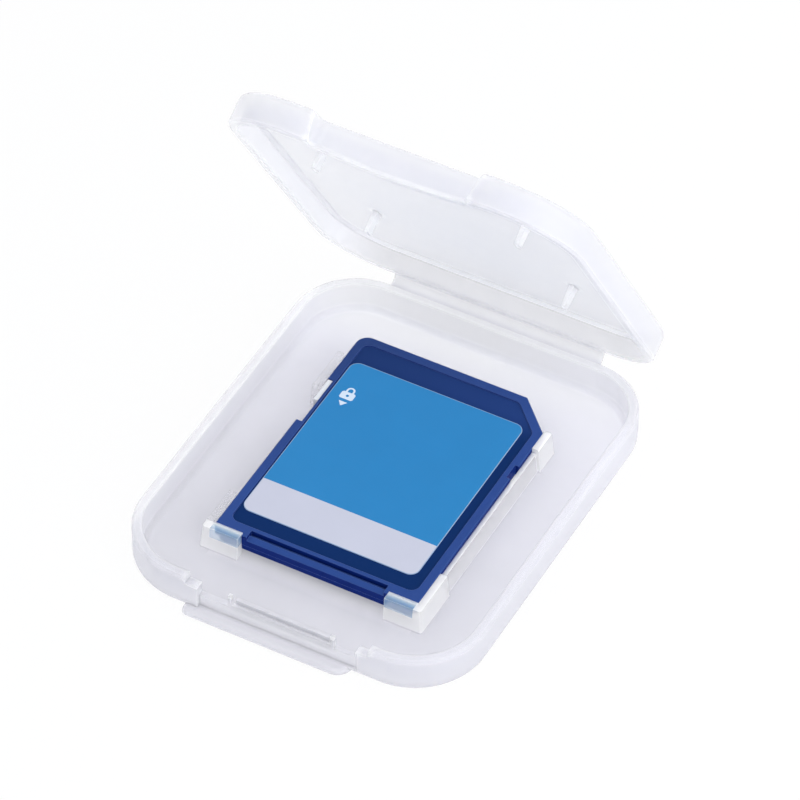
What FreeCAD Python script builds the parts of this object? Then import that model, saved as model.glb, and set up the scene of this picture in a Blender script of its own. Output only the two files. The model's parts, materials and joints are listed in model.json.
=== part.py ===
"""Hinged memory card case: a tray and a lid joined by a living hinge, with one flash card in its clips."""
import FreeCAD, Part
import math
import os

V = FreeCAD.Vector

# Card: its own origin is the left end of its front edge, on its underside
card_width = 24.0
card_length = 32.0
card_thickness = 2.1
card_chamfer = 4.0
card_front_corner_radius = 0.3
card_back_corner_radius = 1.4
card_edge_break = 0.1

# Card shells: the bottom shell is narrower, so the top shell's edges are the card's guide rails
rail_width = 0.7
shell_split = 0.7
shell_side_wall = 2.0
shell_end_wall = 0.9
top_shell_ceiling = 0.55
bottom_shell_floor = 0.3
side_notch_from_front = 20.5
side_notch_length = 2.0
side_notch_depth = 0.45

# Grip at the card's front edge: a bevelled lip and a groove behind it
grip_end_inset = 3.9
grip_lip_width = 0.6
grip_lip_front_drop = 0.6
grip_lip_back_drop = 0.3
grip_groove_width = 0.45
grip_groove_depth = 0.7
grip_back_wall = 0.4

# Label and the recess that it lies in
label_recess_depth = 0.15
label_recess_side = 1.0
label_recess_front = 1.5
label_recess_back = 1.1
label_recess_radius = 1.0
label_from_left = 1.15
label_from_right = 2.1
label_from_front = 3.45
label_from_back = 3.95
label_thickness = 0.1
label_corner_radius = 1.1

# Write-protect slider and its notch: a nub outside, a T-shaped runner inside
lock_notch_from_front = 17.45
lock_notch_length = 6.9
lock_notch_depth = 0.7
lock_slider_length = 3.3
lock_slider_inset = 0.1
lock_neck_height = 0.4
lock_neck_width = 0.4
lock_head_height = 0.7
lock_head_width = 0.45
lock_running_gap = 0.05

# Circuit board and what it carries
board_gap = 0.15
chip_head_gap = 0.12
flash_chip_side_room = 4.2
flash_chip_front_room = 2.1
flash_chip_back_room = 13.0
controller_width = 6.0
controller_gap = 1.5
controller_side_room = 3.0
passive_gap = 1.2
capacitor_size = V(0.5, 1.0, 0.5)
capacitor_pitch = 1.3
capacitor_count = 4
resistor_size = V(0.3, 0.6, 0.24)
resistor_pitch = 1.0
resistor_count = 5
passive_row_gap = 1.0

# Contacts: gold pads under the board, each behind a window in the bottom shell
contact_count = 9
contact_width = 1.5
contact_length = 4.0
contact_thickness = 0.05
contact_edge_gap = 0.15
contact_window_gap = 0.12

# Case: the tray stands on its underside, the origin is the middle of that, and +Y points to the hinge
case_wall = 1.1
front_corner_radius = 8.2
back_corner_radius = 7.4
side_room = 7.2
front_room = 7.65
back_room = 6.45
overrun = 1.0
rim_chamfer = 0.25

# Tray
tray_floor = 0.9
tray_edge_radius = 1.2
tray_floor_fillet = 0.6
card_seat_height = 0.7
card_top_below_rim = 0.8

# Clips of the tray: a hooked corner at each front corner of the card, a short wall at each long edge,
# and a low guide between the two on the right
clip_gap = 0.1
clip_wall = 0.8
clip_foot_spread = 0.35
clip_front_length = 4.25
clip_side_length = 5.0
clip_above_card = 0.2
clip_round = 0.3
clip_ledge = 1.7
clip_hook = 0.2
clip_hook_gap = 0.05
side_clip_above_card = 0.35
side_clip_from_back = 3.7
left_clip_length = 5.8
right_clip_length = 3.2
side_clip_end_draft = 0.15
guide_wall = 0.5
guide_below_card_top = 0.25
guide_lap = 0.5

# Front latch: an opening in the front wall, a low grooved wall behind it and a thumb tab at its foot
latch_corner_room = 2.5
latch_left_inset = 0.55
latch_wall_rise = 1.4
latch_wall_thickness = 1.3
latch_wall_advance = 0.6
latch_wall_end_lap = 1.0
latch_groove_end_room = 3.8
latch_groove_shift = 0.6
latch_groove_width = 0.45
latch_groove_depth = 1.2
latch_bead_rise = 0.3
latch_post_width = 0.4
latch_post_depth = 0.4
latch_post_rise = 1.6
rim_step_width = 1.4
rim_step_depth = 0.8
tab_left_lap = 1.0
tab_right_gap = 0.7
tab_projection = 1.05
tab_thickness = 0.8
tab_left_radius = 0.8
tab_right_radius = 1.8
tab_nose_radius = 0.45
tab_edge_chamfer = 0.2

# Lid
parting_gap = 0.06
lid_height = 3.5
lid_plate = 0.9
lid_edge_radius = 0.8
lid_plate_chamfer = 0.4
lid_open_angle = 59.0
scoop_top_depth = 3.4
scoop_side_draft = 0.6
scoop_back_draft = 2.0
scoop_corner_radius = 0.8
tongue_end_gap = 0.6
tongue_drop = 0.4
hold_rib_width = 0.6
hold_rib_length = 1.6
hold_rib_draft = 0.1
hold_rib_end_gap = 1.0
hold_rib_inset = 0.3
hold_rib_front_reach = 3.6
hold_rib_back_reach = 7.1

# Living hinge: a thin web that bends between the two back walls
hinge_reach = 1.1
hinge_web_thickness = 0.36
hinge_web_margin = 0.07
hinge_web_end_gap = 0.2

# Worked out from the sizes above
case_width = card_width + 2 * (side_room + case_wall)
case_depth = card_length + front_room + back_room + 2 * case_wall
half_width = case_width / 2
half_depth = case_depth / 2
card_left = -card_width / 2
card_front = case_wall + front_room - half_depth
card_under = tray_floor + card_seat_height
card_top = card_under + card_thickness
tray_height = card_top + card_top_below_rim
latch_width = case_width - 2 * (front_corner_radius + latch_corner_room)
latch_groove_length = latch_width - 2 * latch_groove_end_room
scoop_top_width = latch_width
scoop_foot_width = scoop_top_width - 2 * scoop_side_draft
scoop_foot_depth = scoop_top_depth - scoop_back_draft
tongue_width = scoop_foot_width - 2 * tongue_end_gap
lid_rim = tray_height + parting_gap
lid_top = lid_rim + lid_height
hinge_y = half_depth + hinge_reach
hinge_z = tray_height
root_depth = tray_floor / 2
mitre_share = 1 - math.sqrt(2) / 2
match_share = 0.01


def box(low, high):
    """A block between two corners."""
    size = high.sub(low)
    return Part.makeBox(size.x, size.y, size.z, low)


def rectangle(low_x, low_y, high_x, high_y, level):
    """Corner points of a level rectangle."""
    places = ((low_x, low_y), (high_x, low_y), (high_x, high_y), (low_x, high_y))
    return [V(x, y, level) for x, y in places]


def tapered(low_points, high_points):
    """A solid with straight sides between two level outlines."""
    wires = [Part.makePolygon(points + points[:1]) for points in (low_points, high_points)]
    return Part.makeLoft(wires, True, True)


def rising_edges(shape):
    """The edges that run from the bottom of a solid to its top."""
    height = shape.BoundBox.ZLength * (1 - match_share)
    return [e for e in shape.Edges if e.BoundBox.ZLength > height]


def edges_at_height(shape, height):
    """The edges that lie in one level plane."""
    tolerance = rim_chamfer * match_share
    return [e for e in shape.Edges
            if abs(e.BoundBox.ZMin - height) < tolerance and abs(e.BoundBox.ZMax - height) < tolerance]


def rounded_block(low, high, front_radius, back_radius):
    """A block whose upright corners are rounded, with one radius in front and one at the back."""
    block = box(low, high)
    middle = (low.y + high.y) / 2
    block = block.makeFillet(front_radius, [e for e in rising_edges(block) if e.BoundBox.YMax < middle])
    behind = [e for e in rising_edges(block) if e.BoundBox.YMin > middle + back_radius]
    return block.makeFillet(back_radius, behind)


def case_block(inset, low, high):
    """The case's outline, drawn in by an inset, between two heights."""
    return rounded_block(
        V(inset - half_width, inset - half_depth, low),
        V(half_width - inset, half_depth - inset, high),
        front_corner_radius - inset,
        back_corner_radius - inset,
    )


def both_sides(shape):
    """A piece drawn on the right, and its mirror image on the left."""
    return [shape, shape.mirror(V(0, 0, 0), V(1, 0, 0))]


def latch_window(margin, low, high):
    """The block that the latch opening takes out of the front wall."""
    right = latch_width / 2 + margin
    left = latch_left_inset - right
    return box(V(left, -half_depth - overrun, low), V(right, case_wall - half_depth, high))


def tray_shell():
    """The tray's floor and walls, with the latch opening and the steps in the rim beside it."""
    outer = case_block(0, 0, tray_height)
    outer = outer.makeFillet(tray_edge_radius, edges_at_height(outer, 0))
    outer = outer.makeChamfer(rim_chamfer, edges_at_height(outer, tray_height))
    inside = case_block(case_wall, tray_floor, tray_height + overrun)
    inside = inside.makeFillet(tray_floor_fillet, edges_at_height(inside, tray_floor))
    opening = latch_window(0, tab_thickness, tray_height + overrun)
    step = latch_window(rim_step_width, tray_height - rim_step_depth, tray_height + overrun)
    return outer.cut(inside).cut(opening).cut(step)


def latch_wall():
    """The low wall behind the latch opening: a grooved bead, and a post at each end of it."""
    front = case_wall - latch_wall_advance - half_depth
    back = front + latch_wall_thickness
    middle = (front + back) / 2
    wall_top = tray_floor + latch_wall_rise
    bead_top = wall_top + latch_bead_rise
    reach = latch_width / 2 + latch_wall_end_lap
    left = latch_groove_shift - latch_groove_length / 2
    right = latch_groove_shift + latch_groove_length / 2
    wall = box(V(-reach, front, root_depth), V(reach, middle, wall_top))
    bead = box(V(left, front, root_depth), V(right, back, bead_top))
    groove = box(
        V(left, middle - latch_groove_width / 2, bead_top - latch_groove_depth),
        V(right, middle + latch_groove_width / 2, bead_top + overrun),
    )
    posts = []
    for start in (left - latch_post_width, right):
        end = V(start + latch_post_width, front + latch_post_depth, wall_top + latch_post_rise)
        posts.append(box(V(start, front, root_depth), end))
    return wall.fuse(bead).cut(groove).multiFuse(posts)


def thumb_tab():
    """The flat tab that stands out under the latch opening, a little further on the left."""
    low = V(-latch_width / 2 - tab_left_lap, -half_depth - tab_projection, 0)
    high = V(latch_width / 2 - tab_right_gap, case_wall - half_depth, tab_thickness)
    tab = box(low, high)
    for side, radius in ((low.x, tab_left_radius), (high.x, tab_right_radius)):
        ends = [e for e in rising_edges(tab) if e.BoundBox.YMax < -half_depth]
        tab = tab.makeFillet(radius, [e for e in ends if abs(e.BoundBox.XMin - side) < tab_edge_chamfer])
    nose = [e for e in edges_at_height(tab, tab_thickness) if e.BoundBox.YMin < -half_depth]
    tab = tab.makeFillet(tab_nose_radius, nose)
    foot = [e for e in edges_at_height(tab, 0) if e.BoundBox.YMin < -half_depth]
    return tab.makeChamfer(tab_edge_chamfer, foot)


def corner_clip():
    """The drafted corner at the card's right front, with a ledge under the card and a hook over its edge."""
    inner_x = card_width / 2 + clip_gap
    inner_y = card_front - clip_gap
    start_x = inner_x + clip_wall - clip_front_length
    back = inner_y + clip_side_length
    top = card_top + clip_above_card
    outlines = []
    for level, spread in ((root_depth, clip_foot_spread), (top, 0)):
        outer_x = inner_x + clip_wall + spread
        outer_y = inner_y - clip_wall - spread
        outlines.append([
            V(start_x, outer_y, level), V(outer_x, outer_y, level), V(outer_x, back, level),
            V(inner_x, back, level), V(inner_x, inner_y, level), V(start_x, inner_y, level)])
    clip = tapered(*outlines)
    corner = [e for e in rising_edges(clip) if e.BoundBox.XMin > inner_x and e.BoundBox.YMax < inner_y]
    clip = clip.makeFillet(clip_round, corner)
    ledge = box(V(inner_x - clip_ledge, inner_y, root_depth), V(inner_x, inner_y + clip_ledge, card_under))
    hook = box(V(start_x, inner_y, card_top + clip_hook_gap), V(inner_x, card_front + clip_hook, top))
    return clip.multiFuse([ledge, hook])


def side_clip(length):
    """The short wall at the card's right edge, with its ledge."""
    inner = card_width / 2 + clip_gap
    end = card_front + card_length - side_clip_from_back
    start = end - length
    top = card_top + side_clip_above_card
    wall = tapered(
        rectangle(inner, start, inner + clip_wall + clip_foot_spread, end, root_depth),
        rectangle(inner, start + side_clip_end_draft, inner + clip_wall, end - side_clip_end_draft, top),
    )
    outer_top = [e for e in edges_at_height(wall, top) if e.BoundBox.XMin > inner + clip_round]
    wall = wall.makeFillet(clip_round, outer_top)
    return wall.fuse(box(V(inner - clip_ledge, start, root_depth), V(inner, end, card_under)))


def card_guide():
    """The low wall along the card's right edge, from the corner clip to the side clip."""
    inner = card_width / 2 + clip_gap
    start = card_front - clip_gap + clip_side_length - guide_lap
    end = card_front + card_length - side_clip_from_back - right_clip_length + guide_lap
    return tapered(
        rectangle(inner, start, inner + guide_wall + clip_foot_spread, end, root_depth),
        rectangle(inner, start, inner + guide_wall, end, card_top - guide_below_card_top),
    )


def base_tray():
    """The whole lower moulding."""
    left_clip = both_sides(side_clip(left_clip_length))[1]
    pieces = [latch_wall(), thumb_tab(), card_guide(), left_clip, side_clip(right_clip_length)]
    return tray_shell().multiFuse(pieces + both_sides(corner_clip())).removeSplitter()


def thumb_scoop(inset):
    """The drafted wedge that the thumb scoop takes out of the lid's front, grown by an inset."""
    outlines = []
    for level in (lid_rim - overrun, lid_top + overrun):
        rise_share = (level - lid_rim) / lid_height
        width = scoop_foot_width + rise_share * (scoop_top_width - scoop_foot_width)
        depth = scoop_foot_depth + rise_share * (scoop_top_depth - scoop_foot_depth)
        side = width / 2 + inset
        outlines.append(rectangle(-side, -half_depth - overrun, side, depth + inset - half_depth, level))
    wedge = tapered(*outlines)
    inner_corners = [e for e in rising_edges(wedge) if e.BoundBox.YMin > -half_depth]
    return wedge.makeFillet(scoop_corner_radius + inset, inner_corners)


def latch_tongue():
    """The bowed lower edge of the scoop's wall, which hangs below the lid's rim into the latch opening."""
    wall = thumb_scoop(case_wall).cut(thumb_scoop(0))
    half = tongue_width / 2
    bow_radius = (half * half + tongue_drop * tongue_drop) / (2 * tongue_drop)
    bow_middle = V(0, -half_depth - overrun, lid_rim - tongue_drop + bow_radius)
    bow = Part.makeCylinder(bow_radius, case_depth, bow_middle, V(0, 1, 0))
    band = box(V(-half, -half_depth, lid_rim - tongue_drop), V(half, 0, lid_rim + parting_gap))
    return wall.common(bow).common(band)


def hold_ribs():
    """Four slim ribs under the lid's plate that keep the card in its clips when the lid is shut."""
    ribs = []
    root = lid_top - lid_plate / 2
    tip = card_top + hold_rib_end_gap
    middle_x = card_width / 2 - hold_rib_inset
    half_x = hold_rib_width / 2
    half_y = hold_rib_length / 2
    tip_x = half_x - hold_rib_draft
    tip_y = half_y - hold_rib_draft
    for y in (card_front + hold_rib_front_reach, card_front + card_length - hold_rib_back_reach):
        rib = tapered(
            rectangle(middle_x - tip_x, y - tip_y, middle_x + tip_x, y + tip_y, tip),
            rectangle(middle_x - half_x, y - half_y, middle_x + half_x, y + half_y, root),
        )
        ribs += both_sides(rib)
    return ribs


def lid_shell():
    """The upper moulding, drawn shut and then swung open about the hinge."""
    outer = case_block(0, lid_rim, lid_top)
    outer = outer.makeChamfer(rim_chamfer, edges_at_height(outer, lid_rim))
    outer = outer.cut(thumb_scoop(0))
    outer = outer.makeFillet(lid_edge_radius, edges_at_height(outer, lid_top))
    inside = case_block(case_wall, lid_rim - overrun, lid_top - lid_plate).cut(thumb_scoop(case_wall))
    inside = inside.makeChamfer(lid_plate_chamfer, edges_at_height(inside, lid_top - lid_plate))
    shell = outer.cut(inside).multiFuse([latch_tongue()] + hold_ribs()).removeSplitter()
    shell.rotate(V(0, hinge_y, hinge_z), V(-1, 0, 0), lid_open_angle)
    return shell


def living_hinge():
    """The web, bent in an arc from the tray's back wall to the lid's where the lid stands."""
    web_offset = rim_chamfer + hinge_web_thickness / 2 + hinge_web_margin
    angle = math.radians(lid_open_angle)
    start = V(-case_width / 2 + back_corner_radius + hinge_web_end_gap, half_depth, tray_height - web_offset)
    end = V(
        start.x,
        hinge_y - hinge_reach * math.cos(angle) + web_offset * math.sin(angle),
        hinge_z + hinge_reach * math.sin(angle) + web_offset * math.cos(angle),
    )
    turn = math.pi - angle
    radius = end.sub(start).Length / (2 * math.sin(turn / 2))
    centre = V(start.x, start.y, start.z + radius)

    def arc(distance):
        spots = []
        for turn_share in (0, 1 / 2, 1):
            at = turn * turn_share - math.pi / 2
            spots.append(centre.add(V(0, distance * math.cos(at), distance * math.sin(at))))
        return spots

    inner = arc(radius - hinge_web_thickness / 2)
    outer = arc(radius + hinge_web_thickness / 2)
    section = Part.Wire([
        Part.Arc(*inner).toShape(),
        Part.LineSegment(inner[2], outer[2]).toShape(),
        Part.Arc(*reversed(outer)).toShape(),
        Part.LineSegment(outer[0], inner[0]).toShape(),
    ])
    return Part.Face(section).extrude(V(-2 * start.x, 0, 0))


def card_outline(side_inset, front_inset, back_inset):
    """Corner points of the card's outline, drawn in by the given insets."""
    left = side_inset
    right = card_width - side_inset
    back = card_length - back_inset
    slant = card_chamfer - (side_inset + back_inset) * mitre_share
    return [
        V(left, front_inset, 0), V(right, front_inset, 0), V(right, back - slant, 0),
        V(right - slant, back, 0), V(left, back, 0)]


def card_prism(insets, low, high):
    """A solid of the card's inset outline between two heights."""
    points = card_outline(*insets)
    face = Part.Face(Part.makePolygon(points + points[:1]))
    return face.extrude(V(0, 0, high - low)).translated(V(0, 0, low))


def rounded_card(insets, low, high):
    """The same with the card's own rounded corners."""
    solid = card_prism(insets, low, high)
    middle = V(card_width / 2, card_length / 2, 0)
    front = [e for e in rising_edges(solid) if e.BoundBox.YMax < middle.y]
    solid = solid.makeFillet(card_front_corner_radius, front)
    back_left = [e for e in rising_edges(solid)
                 if e.BoundBox.YMin > middle.y + card_back_corner_radius and e.BoundBox.XMax < middle.x]
    return solid.makeFillet(card_back_corner_radius, back_left)


def lock_runner(gap, length):
    """The slider's T-shaped runner, or with a gap the channel that it runs in."""
    middle = (shell_split + card_thickness) / 2
    neck_end = lock_notch_depth + lock_neck_width
    neck_half = lock_neck_height / 2 + gap
    head_half = lock_head_height / 2 + gap
    neck = box(
        V(lock_notch_depth - lock_running_gap, 0, middle - neck_half),
        V(neck_end, length, middle + neck_half),
    )
    head = box(
        V(neck_end - gap, 0, middle - head_half),
        V(neck_end + lock_head_width + gap, length, middle + head_half),
    )
    return neck.fuse(head)


def grip_cut():
    """What the grip takes out of the card's front edge: a bevel and a groove."""
    start = grip_end_inset
    above = card_thickness + overrun
    groove_end = grip_lip_width + grip_groove_width
    points = [
        V(start, -overrun, above),
        V(start, -overrun, card_thickness - grip_lip_front_drop),
        V(start, 0, card_thickness - grip_lip_front_drop),
        V(start, grip_lip_width, card_thickness - grip_lip_back_drop),
        V(start, grip_lip_width, card_thickness - grip_groove_depth),
        V(start, groove_end, card_thickness - grip_groove_depth),
        V(start, groove_end, above),
    ]
    return Part.Face(Part.makePolygon(points + points[:1])).extrude(V(card_width - 2 * grip_end_inset, 0, 0))


def card_top_shell():
    """The label side of the card, hollow underneath, with the notches, the grip and the label's recess."""
    shell = rounded_card((0, 0, 0), shell_split, card_thickness)
    shell = shell.makeChamfer(card_edge_break, edges_at_height(shell, card_thickness))
    below = shell_split - overrun
    above = card_thickness + overrun
    hollow_front = grip_lip_width + grip_groove_width + grip_back_wall
    hollow_insets = (shell_side_wall, hollow_front, shell_end_wall)
    hollow = card_prism(hollow_insets, below, card_thickness - top_shell_ceiling)
    recess_insets = (label_recess_side, label_recess_front, label_recess_back)
    recess = card_prism(recess_insets, card_thickness - label_recess_depth, above)
    recess = recess.makeFillet(label_recess_radius, rising_edges(recess))
    lock_end = lock_notch_from_front + lock_notch_length
    notch = box(V(-overrun, lock_notch_from_front, below), V(lock_notch_depth, lock_end, above))
    channel = lock_runner(lock_running_gap, lock_notch_length).translated(V(0, lock_notch_from_front, 0))
    side_end = side_notch_from_front + side_notch_length
    side_notch = box(
        V(card_width - side_notch_depth, side_notch_from_front, below),
        V(card_width + overrun, side_end, above),
    )
    for tool in (hollow, recess, notch, channel, grip_cut(), side_notch):
        shell = shell.cut(tool)
    return shell


def contact_places():
    """Middle of each contact: across the card, and along it as far back as the board reaches there."""
    places = []
    board_back = card_length - shell_end_wall - board_gap
    corner = card_outline(shell_side_wall, 0, shell_end_wall + board_gap)[3]
    first = shell_side_wall + contact_edge_gap + contact_width / 2
    pitch = (card_width - 2 * first) / (contact_count - 1)
    for index in range(contact_count):
        across = first + index * pitch
        past_corner = max(0, across + contact_width / 2 - corner.x)
        back = board_back - past_corner - contact_edge_gap
        places.append(V(across, back - contact_length / 2, 0))
    return places


def card_bottom_shell():
    """The contact side of the card: a shallow tray with a window for each contact."""
    shell = card_prism((rail_width, 0, 0), 0, shell_split)
    shell = shell.makeChamfer(card_edge_break, edges_at_height(shell, 0))
    insets = (shell_side_wall - board_gap, shell_end_wall, shell_end_wall)
    shell = shell.cut(card_prism(insets, bottom_shell_floor, shell_split + overrun))
    reach = V(contact_width / 2 + contact_window_gap, contact_length / 2 + contact_window_gap, 0)
    for place in contact_places():
        low = place.sub(reach).add(V(0, 0, -overrun))
        high = place.add(reach).add(V(0, 0, bottom_shell_floor))
        shell = shell.cut(box(low, high))
    return shell


def circuit_board():
    """The board that fills the bottom shell's pocket."""
    end_inset = shell_end_wall + board_gap
    return card_prism((shell_side_wall, end_inset, end_inset), bottom_shell_floor, shell_split)


def on_board(low_x, low_y, size):
    """A component of the given size standing on the board."""
    low = V(low_x, low_y, shell_split)
    return box(low, low.add(size))


def board_components():
    """The chips and the two rows of small parts beside the controller, by name."""
    head_room = card_thickness - top_shell_ceiling - shell_split - chip_head_gap
    flash_low_x = shell_side_wall + flash_chip_side_room
    flash_low_y = shell_end_wall + flash_chip_front_room
    flash_length = card_length - shell_end_wall - flash_chip_back_room - flash_low_y
    flash_size = V(card_width - 2 * flash_low_x, flash_length, head_room)
    controller_x = shell_side_wall + controller_side_room
    controller_y = flash_low_y + flash_length + controller_gap
    controller_size = V(controller_width, controller_width, head_room - chip_head_gap)
    row_x = controller_x + controller_width + passive_gap
    resistor_y = controller_y + capacitor_size.y + passive_row_gap
    capacitors = [
        on_board(row_x + n * capacitor_pitch, controller_y, capacitor_size) for n in range(capacitor_count)]
    resistors = [
        on_board(row_x + n * resistor_pitch, resistor_y, resistor_size) for n in range(resistor_count)]
    return {
        "flash_chip": on_board(flash_low_x, flash_low_y, flash_size),
        "controller_chip": on_board(controller_x, controller_y, controller_size),
        "capacitors": Part.makeCompound(capacitors),
        "resistors": Part.makeCompound(resistors),
    }


def contact_pad(place):
    """One gold pad on the underside of the board."""
    reach = V(contact_width / 2, contact_length / 2, 0)
    low = place.sub(reach).add(V(0, 0, bottom_shell_floor - contact_thickness))
    return box(low, place.add(reach).add(V(0, 0, bottom_shell_floor)))


def card_label():
    """The sticker in the recess of the top shell."""
    level = card_thickness - label_recess_depth
    low = V(label_from_left, label_from_front, level)
    high = V(card_width - label_from_right, card_length - label_from_back, level + label_thickness)
    return rounded_block(low, high, label_corner_radius, label_corner_radius)


def write_protect_slider():
    """The slider, at the end of its notch that is nearer to the card's contacts."""
    low = V(lock_slider_inset, 0, shell_split + lock_slider_inset)
    high = V(lock_notch_depth - lock_running_gap, lock_slider_length, card_thickness - lock_slider_inset)
    slider = box(low, high).fuse(lock_runner(0, lock_slider_length)).removeSplitter()
    lock_end = lock_notch_from_front + lock_notch_length
    return slider.translated(V(0, lock_end - lock_running_gap - lock_slider_length, 0))


def card_pieces():
    """Every piece of the card by name, moved from the card's own corner to its place in the tray."""
    pieces = {
        "card_top_shell": card_top_shell(),
        "card_bottom_shell": card_bottom_shell(),
        "card_label": card_label(),
        "write_protect_slider": write_protect_slider(),
        "circuit_board": circuit_board(),
    }
    pieces.update(board_components())
    for number, place in enumerate(contact_places(), start=1):
        pieces[f"contact_pad_{number}"] = contact_pad(place)
    seat = V(card_left, card_front, card_under)
    return {name: shape.translated(seat) for name, shape in pieces.items()}


def all_pieces():
    """Every piece of the case and of its card, by name."""
    pieces = {"base_tray": base_tray(), "lid_shell": lid_shell(), "living_hinge": living_hinge()}
    pieces.update(card_pieces())
    return pieces


os.makedirs("parts", exist_ok=True)
for name, shape in all_pieces().items():
    shape.exportStep(f"parts/{name}.step")
    print(name, "solids", len(shape.Solids), "valid", shape.isValid(), "volume", round(shape.Volume, 3))
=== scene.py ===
"""A pocket case for one flash memory card, standing open with the card in its clips."""
import json
import math

import bmesh
import bpy
from bpy.props import FloatProperty, FloatVectorProperty, PointerProperty
from mathutils import Matrix, Vector


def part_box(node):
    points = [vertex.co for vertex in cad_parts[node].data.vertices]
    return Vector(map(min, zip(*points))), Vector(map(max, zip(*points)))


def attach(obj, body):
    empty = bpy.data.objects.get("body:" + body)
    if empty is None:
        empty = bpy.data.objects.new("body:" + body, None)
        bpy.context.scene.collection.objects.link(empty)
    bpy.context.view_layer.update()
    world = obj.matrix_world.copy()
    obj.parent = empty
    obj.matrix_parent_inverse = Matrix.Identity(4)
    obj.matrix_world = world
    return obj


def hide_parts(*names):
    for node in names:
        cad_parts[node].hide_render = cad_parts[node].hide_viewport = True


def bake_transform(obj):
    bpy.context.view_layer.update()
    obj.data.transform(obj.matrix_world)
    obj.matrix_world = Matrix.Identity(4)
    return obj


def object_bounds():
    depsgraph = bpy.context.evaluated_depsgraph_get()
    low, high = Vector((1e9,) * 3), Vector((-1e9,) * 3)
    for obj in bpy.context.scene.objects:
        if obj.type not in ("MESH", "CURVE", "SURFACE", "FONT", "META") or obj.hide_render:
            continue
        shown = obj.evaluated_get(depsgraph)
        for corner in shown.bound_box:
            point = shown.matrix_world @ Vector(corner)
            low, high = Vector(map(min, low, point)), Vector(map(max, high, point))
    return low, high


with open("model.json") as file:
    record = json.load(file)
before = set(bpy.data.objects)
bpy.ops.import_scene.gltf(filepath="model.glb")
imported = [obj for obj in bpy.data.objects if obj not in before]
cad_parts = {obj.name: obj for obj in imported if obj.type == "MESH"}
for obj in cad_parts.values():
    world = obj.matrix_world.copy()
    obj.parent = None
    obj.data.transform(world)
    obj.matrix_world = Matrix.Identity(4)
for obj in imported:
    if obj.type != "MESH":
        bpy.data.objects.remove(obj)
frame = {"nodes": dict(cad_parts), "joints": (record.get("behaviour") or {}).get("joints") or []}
CAD_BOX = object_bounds()

bl_info = {
    "name": "Memory Card Case",
    "version": (1, 0, 0),
    "blender": (4, 5, 0),
    "location": "View3D > Sidebar > Card Case",
    "description": "Dresses a hinged card case and the flash card in it, and builds their studio",
    "category": "Object",
}

MM = 0.001
CARD_LOW, CARD_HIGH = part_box("card_top_shell")
LABEL_LOW, LABEL_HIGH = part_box("card_label")
TRAY_LOW, TRAY_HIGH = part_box("base_tray")
WEB_LOW, WEB_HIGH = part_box("living_hinge")
CONTACT_PADS = sorted(node for node in frame["nodes"] if node.startswith("contact_pad"))
LID_HINGE = next(joint for joint in frame["joints"] if joint["name"] == "lid_hinge")
HINGE_LINE = Vector(LID_HINGE["pos_m"])
OPEN_ANGLE = math.radians(-LID_HINGE["range_deg"][0])
OPENED = Matrix.Rotation(-OPEN_ANGLE, 3, "X")

# Places by which the plastic's looks are told apart
FLOOR_HEIGHTS = (1.1 * MM, 1.7 * MM)  # the floor's tone ends between these heights
CLIP_ROOM = Vector((1.6, 1.6, 1.2)) * MM  # the clips lie this near to the card
NEAR_ROOM = Vector((3.2, 3.2, 3.0)) * MM  # corners this near to the card aren't shaded
CLIP_FACE_FOOT = 0.4 * MM  # the faces before the card begin this far over its underside
CLIP_FACE_DEPTH = 0.5 * MM  # and end this far behind its front edge
CLIP_TOUCH = 0.1 * MM  # margin past the card's left and front edges
# the hooks' tops take a painted highlight
HOOK_TOP = (-0.8 * MM, 0.2 * MM)  # the hooks' tops grow whiter between these, from the card's front
GUIDE_FRONT = 5.0 * MM  # the guide's stretch begins this far behind the card's front
GUIDE_BACK = 7.0 * MM  # and ends this far before its back
STRIP_ROOM = (3.0 * MM, 1.0 * MM)  # the strip of floor before the card's front, and under it
STRIP_FADE = 1.9 * MM  # the strip's light fades over this
# painted light on the tray's back
TRAY_BACK = (-12 * MM, -2 * MM)  # the tray grows lighter between these, from its back
LATCH_SPAN = (-10.8 * MM, 9.8 * MM)  # left and right end of the latch wall
LATCH_DEPTH = 4.0 * MM  # from the tab's nose to just behind the latch wall
LATCH_HEIGHT = 3.5 * MM
LID_WALL_OUTSIDE = 1.05 * MM  # the lid begins this far from the fold of the hinge
LID_WALL_REACH = 6.0 * MM  # its back wall is looked for up to here
# painted light on the lid's plate
PLATE_LIGHT_END = 6.0 * MM  # the plate grows lighter from here to the left
TOUCH_MARGIN = Vector((1, 1, 1)) * 0.01 * MM

# Painted light and shade on the plastic there, as shares of its tint; the first also spans the random
# clouding
LIGHT_AND_CLOUD_SHADES = (0.92, 1.08)
# the floor's wider spread is a stronger painted light and shade gradient
FLOOR_SHADES = (0.8, 1.2)
STRIP_LIGHT = 1.3
TRAY_BACK_LIGHT = 1.2
PLATE_LEFT_LIGHT = 1.16
LID_WALL_SHADE = 0.79
CORNER_SHADE = 0.6
WEB_SHADE = 0.8

# Places and sizes of the studio's lamps, in metres
LAMP_AIM = Vector((0, 0, 0.01))
KEY_PLACE = Vector((0.3, -0.05, 0.55))
KEY_SIZE = 0.5
FILL_PLACE = Vector((0.55, -0.1, 0.25))
FILL_SIZE = 0.4


def colour_property(name, description, default):
    """A colour that a user can change."""
    return FloatVectorProperty(
        name=name, description=description, subtype="COLOR", size=3, min=0, max=1, default=default)


def length_property(name, description, default):
    """A length that a user can change."""
    return FloatProperty(
        name=name, description=description, unit="LENGTH", min=0, default=default, precision=5)


def share_property(name, description, default):
    """A share between nothing and all."""
    return FloatProperty(
        name=name, description=description, subtype="FACTOR", min=0, max=1, default=default)


def angle_property(name, description, default):
    """An angle that a user can change."""
    return FloatProperty(name=name, description=description, subtype="ANGLE", default=default)


def power_property(name, description, default):
    """A lamp's power."""
    return FloatProperty(name=name, description=description, subtype="POWER", min=0, default=default)


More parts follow.
